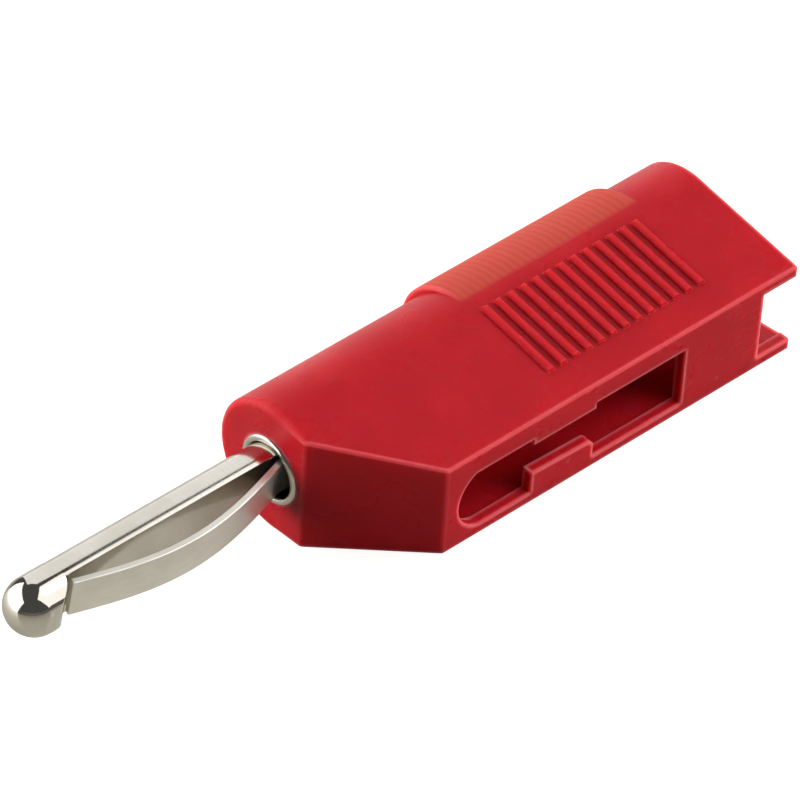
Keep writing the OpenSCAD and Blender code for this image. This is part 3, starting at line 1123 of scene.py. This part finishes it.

# %% [markdown]
# The ribs are found by their height over the upper flat, so the coordinates are turned once more, until
# that flat is level. The furrows between the ribs get a painted shade, and of each rib only the top gets a
# painted highlight. A mask's limits are in millimetres: where it starts, and where it is full.

# %% Red plastic: ribs and furrows
_, flat_side, flat_height = split_axes(tree, turned_back(tree, place))
on_rib = ramp(tree, flat_height, BARREL_R + 0.02, BARREL_R + 0.08)
# Painted highlight: the top of each rib gets a paler red.
crown_highlight = ramp(tree, flat_height, BARREL_R + 0.19, BARREL_R + 0.26)
rib_last = RIB_X + (RIB_COUNT - 1) * RIB_PITCH
rib_far = -RIB_START - RIB_LEN
# Painted shade: the flat between the ribs gets a darker red, where shade falls.
furrow_shade = ramp(tree, flat_height, BARREL_R + 0.06, BARREL_R + 0.22, 1.0, 0.0)
for limit in (
    ramp(tree, flat_height, BARREL_R - 0.4, BARREL_R - 0.2),
    ramp(tree, along, RIB_X - RIB_W, RIB_X),
    ramp(tree, along, rib_last, rib_last + RIB_W, 1.0, 0.0),
    ramp(tree, flat_side, rib_far - 0.2, rib_far + 0.3),
    ramp(tree, flat_side, -RIB_START - 0.3, -RIB_START + 0.2, 1.0, 0.0),
):
    furrow_shade = calculate(tree, "MULTIPLY", furrow_shade, limit)
print("furrows darkened between", RIB_X, "and", round(rib_last, 2), "mm")

# %% [markdown]
# The colours are laid over each other from the plain red up: the band with its painted sheen, the wear, the
# painted highlight on outer edges and rib crowns, and the painted shade in the furrows. Each colour but the
# first two pairs has a share, which says how much of it shows.

# %% Red plastic: colour
DEEP_RED, DULL_RED = (0.50, 0.0090, 0.0172), (0.455, 0.0076, 0.0150)
# The band's two reds are paler and more orange than the plain red. They are a painted sheen, and the stripes
# between them are faint marks.
BAND_SHEEN_RED, BAND_SHEEN_PALE = (0.50, 0.058, 0.038), (0.53, 0.075, 0.053)
WORN_RED, WEAR_SHARE = (0.58, 0.035, 0.045), 0.2
# The pale red on outer edges is a painted highlight. The rib crowns get it more weakly.
EDGE_HIGHLIGHT_RED, EDGE_HIGHLIGHT_WIDTH, EDGE_HIGHLIGHT_SHARE, CROWN_HIGHLIGHT_SHARE = (0.95, 0.17, 0.19), 0.0003, 0.75, 0.22
# The dark red between the ribs is painted shade.
FURROW_SHADE_RED, FURROW_SHADE_SHARE = (0.24, 0.006, 0.010), 0.48
clouds = ramp(tree, texture.outputs["Cloud"], 0.35, 0.65)
plain = mix_colours(tree, clouds, DEEP_RED, DULL_RED)
band_sheen_colour = mix_colours(tree, stripes.outputs["Fac"], BAND_SHEEN_RED, BAND_SHEEN_PALE)
colour = mix_colours(tree, on_band, plain, band_sheen_colour)
colour = mix_colours(tree, calculate(tree, "MULTIPLY", wear, WEAR_SHARE), colour, WORN_RED)
# Painted highlight on the outer edges, where the ambient occlusion node finds them.
edge = place_group(tree, edges, width=EDGE_HIGHLIGHT_WIDTH).outputs["Mask"]
highlight_share = calculate(tree, "MULTIPLY_ADD", on_rib, -EDGE_HIGHLIGHT_SHARE, EDGE_HIGHLIGHT_SHARE)
highlight_share = calculate(tree, "MULTIPLY_ADD", crown_highlight, CROWN_HIGHLIGHT_SHARE, highlight_share)
colour = mix_colours(tree, calculate(tree, "MULTIPLY", edge, highlight_share), colour, EDGE_HIGHLIGHT_RED)
colour = mix_colours(tree, calculate(tree, "MULTIPLY", furrow_shade, FURROW_SHADE_SHARE), colour, FURROW_SHADE_RED)
print("plain red:", DEEP_RED)

# %% [markdown]
# The moulded surface is half glossy, and the band and the worn places are rougher. Its grain is a few
# hundredths of a millimetre deep at most, so a bump is enough. Light enters the plastic, so it has some
# subsurface scattering, which goes much further in red than in the other colours.

# %% Red plastic: surface
RED_ROUGHNESS, BAND_ROUGHER, WORN_ROUGHER = (0.24, 0.32), 0.28, 0.12
STRIPE_RELIEF, RED_RELIEF_SHARE, RED_RELIEF = 2.5, 0.08, 0.00003
roughness = ramp(tree, texture.outputs["Cloud"], 0.3, 0.7, *RED_ROUGHNESS)
roughness = calculate(tree, "MULTIPLY_ADD", on_band, BAND_ROUGHER, roughness)
roughness = calculate(tree, "MULTIPLY_ADD", wear, WORN_ROUGHER, roughness)
relief = calculate(tree, "MULTIPLY_ADD", across_band, STRIPE_RELIEF, texture.outputs["Height"])
wire(
    tree,
    shader,
    {
        "Base Color": colour,
        "Roughness": roughness,
        "Normal": bump(tree, relief, RED_RELIEF_SHARE, RED_RELIEF),
        "Specular IOR Level": 0.11,
        "Subsurface Weight": 0.85,
        "Subsurface Radius": (1.0, 0.12, 0.1),
        "Subsurface Scale": 0.002,
    },
)
print("red plastic has", len(tree.nodes), "nodes")

# %% [markdown]
# ## Plated metal
# Bright nickel is a warm grey mirror. What shows on it is mostly the studio, so its own detail is small:
# faint turning marks round the bar, a slightly milky plate here and there, and hairlines. The bow is the
# same plate on a rolled strip, so it is satin and a little less of a mirror, with streaks along the strip.
# The screw and the washer are zinc plated, which is bluer and duller. One function makes all three.


# %% A function for plated finishes
PLATE_RELIEF, TURNED_ROUGHER = 0.00002, 0.07


def plated(name, light, dark, shine, streaks, relief_share, worn, metallic=1.0, turned_from=None):
    """A plated metal: two tints, two roughness limits, the streaks' squeeze, its relief and its wear.

    Behind turned_from, the turning tool's fine marks make it a little less sharp a mirror.
    """
    material, tree, shader = new_material(name)
    place = place_group(tree, upright).outputs["Place"]
    texture = place_group(tree, grain, place=place, scale=14.0)
    wear = place_group(tree, marks, place=place, amount=worn).outputs["Mask"]
    lines = noise(tree, stretched(tree, place, streaks), 1.0, 3.0, 0.6)
    tint = ramp(tree, texture.outputs["Cloud"], 0.35, 0.68)
    metal = mix_colours(tree, tint, light, dark)
    drawn = mix_colours(tree, ramp(tree, lines, 0.35, 0.7, 0.0, 0.35), metal, dark)
    gloss = ramp(tree, lines, 0.35, 0.7, *shine)
    if turned_from is not None:
        along = split_axes(tree, place)[0]
        on_turned = ramp(tree, along, turned_from, turned_from + 1.5, 0.0, TURNED_ROUGHER)
        gloss = calculate(tree, "ADD", gloss, on_turned)
    roughness = calculate(tree, "MULTIPLY_ADD", wear, WORN_ROUGHER, gloss)
    relief = calculate(tree, "MULTIPLY_ADD", texture.outputs["Height"], 0.4, lines)
    normal = bump(tree, relief, relief_share, PLATE_RELIEF)
    surface = {"Base Color": drawn, "Metallic": metallic, "Roughness": roughness, "Normal": normal}
    wire(tree, shader, surface)
    return material


print("plated relief:", round(PLATE_RELIEF / TO_METRES, 3), "mm")

# %% [markdown]
# Nickel is warm and zinc is cold. The squeeze of the streaks makes rings round the turned pieces, lines
# along the rolled strip, and even clouds on the zinc.

# %% Nickel and zinc finishes
bright = plated(
    "bright_nickel",
    light=(0.64, 0.61, 0.55),
    dark=(0.56, 0.53, 0.465),
    shine=(0.035, 0.09),
    streaks=(6, 0.5, 0.5),
    relief_share=0.05,
    worn=0.6,
    turned_from=shoulder_end,
)
satin = plated(
    "satin_nickel",
    light=(0.88, 0.845, 0.77),
    dark=(0.77, 0.74, 0.665),
    shine=(0.32, 0.46),
    streaks=(0.25, 5, 5),
    relief_share=0.10,
    worn=0.8,
    metallic=0.8,
)
zinc = plated(
    "zinc_steel",
    light=(0.58, 0.60, 0.62),
    dark=(0.45, 0.465, 0.47),
    shine=(0.24, 0.40),
    streaks=(1.2, 1.2, 1.2),
    relief_share=0.25,
    worn=0.8,
)
print("plated finishes:", bright.name, satin.name, zinc.name)

# %% [markdown]
# Each piece has one finish all over, as it was moulded or plated in one go.

# %% Finishes put on the pieces
for piece, material in (
    (housing, red),
    (contact_body, bright),
    (pin, bright),
    (bow, satin),
    (washer, zinc),
    (screw, zinc),
):
    piece.data.materials.clear()
    piece.data.materials.append(material)
    print(piece.name, "wears", material.name)

# %% [markdown]
# ## Floor and lights
# The photograph is a plain studio shot on white. Its reflections in the ball nose show how it was lit: a
# large window to the left and behind, another to the right, bright space behind, darkness overhead and a
# pale table below. The same layout gives the red flats their even tone and leaves the slanted face in
# shade. The table's rim is raised a little far away, where it stands in for the pale studio round it.

# %% Table and its rim
TABLE_R, WALL_R, WALL_H = 1.5, 1.7, 0.34
TABLE_GAP = 0.00002
clear_selection()
bpy.ops.mesh.primitive_cone_add(
    vertices=64,
    radius1=TABLE_R,
    radius2=WALL_R,
    depth=WALL_H,
    end_fill_type="NGON",
    location=(0, 0, cad_low.z - TABLE_GAP + WALL_H / 2),
)
floor = named("floor")
edit(floor, "FACE")
pick(floor, "faces", lambda f: f.calc_center_median().z > WALL_H / 2)
bpy.ops.mesh.delete(type="FACE")
bpy.ops.mesh.select_all(action="SELECT")
bpy.ops.mesh.flip_normals()
clear_selection()
print("table lies at", round((cad_low.z - TABLE_GAP) * 1000, 2), "mm")

# %% [markdown]
# The camera sees the table as plain white, and the plated metal sees it as the cream that it is. The
# plastic's undersides see a darker table, because a large pale one would fill the shade that the
# photograph has there. A Light Path node tells the three apart.

# %% Table's colour
CREAM, CREAM_DARK, UNDER_SHADE = (0.54, 0.52, 0.46), (0.52, 0.50, 0.44), (0.20, 0.18, 0.16)
SEEN_WHITE = 0.80
pale, tree, shader = new_material("pale_table")
place = tree.nodes.new("ShaderNodeTexCoord").outputs["Object"]
tone = ramp(tree, noise(tree, place, 30.0, 3.0), 0.3, 0.7)
rays = tree.nodes.new("ShaderNodeLightPath").outputs
cream = mix_colours(tree, tone, CREAM, CREAM_DARK)
shaded = mix_colours(tree, rays["Is Diffuse Ray"], cream, UNDER_SHADE)
seen = calculate(tree, "MULTIPLY", rays["Is Camera Ray"], SEEN_WHITE)
wire(
    tree,
    shader,
    {
        "Base Color": shaded,
        "Roughness": 0.22,
        "Emission Color": (1, 1, 1, 1),
        "Emission Strength": seen,
    },
)
floor.data.materials.append(pale)
print("table has", len(tree.nodes), "nodes")

# %% [markdown]
# Each softbox stands where the ball nose reflects one. The window behind on the left is there for the
# metal's sake alone. Two fills do the opposite: they light the red faces and are left out of reflections,
# as a large bounced light would be too even to see in the metal.


# %% Softboxes
def softbox(name, towards, distance, width, height, radiance):
    """A large soft light in a direction from the plug, facing it. Radiance is how bright its face is."""
    data = bpy.data.lights.new(name, "AREA")
    data.shape = "RECTANGLE"
    data.size, data.size_y = width, height
    data.energy = radiance * math.pi * width * height
    light = bpy.data.objects.new(name, data)
    bpy.context.scene.collection.objects.link(light)
    place = Vector(towards).normalized()
    light.location = place * distance
    light.rotation_euler = place.to_track_quat("Z", "Y").to_euler()
    light.visible_camera = False
    print(name, round(data.energy, 2), "W")
    return light


window = softbox("softbox_back_left", (-0.61, 0.68, 0.40), 0.75, 1.36, 0.86, 1.95)
window.visible_diffuse = False
softbox("softbox_right", (0.54, -0.50, 0.67), 0.75, 0.98, 0.84, 1.55)
softbox("softbox_back_right", (0.56, 0.62, 0.455), 0.75, 0.54, 0.90, 1.1)
softbox("key_light", (0.45, -0.35, 0.82), 0.70, 0.26, 0.22, 1.8)
for name, towards, width, radiance in (
    ("wall_fill", (0.62, -0.74, 0.28), 0.70, 3.9),
    ("front_fill", (-0.61, 0.75, 0.26), 1.0, 7.2),
):
    fill = softbox(name, towards, 0.80, width, 0.56, radiance)
    fill.visible_glossy = False

# %% [markdown]
# A faint even light from everywhere stands for the rest of the room. The Standard view transform shows the
# colours as they are mixed, which suits a product on white.

# %% Room light
ROOM_LIGHT = 0.09
world = bpy.data.worlds.new("studio")
bpy.context.scene.world = world
world.use_nodes = True
background = world.node_tree.nodes["Background"]
background.inputs["Color"].default_value = (1, 1, 1, 1)
background.inputs["Strength"].default_value = ROOM_LIGHT
bpy.context.scene.view_settings.view_transform = "Standard"
print("room light:", ROOM_LIGHT)
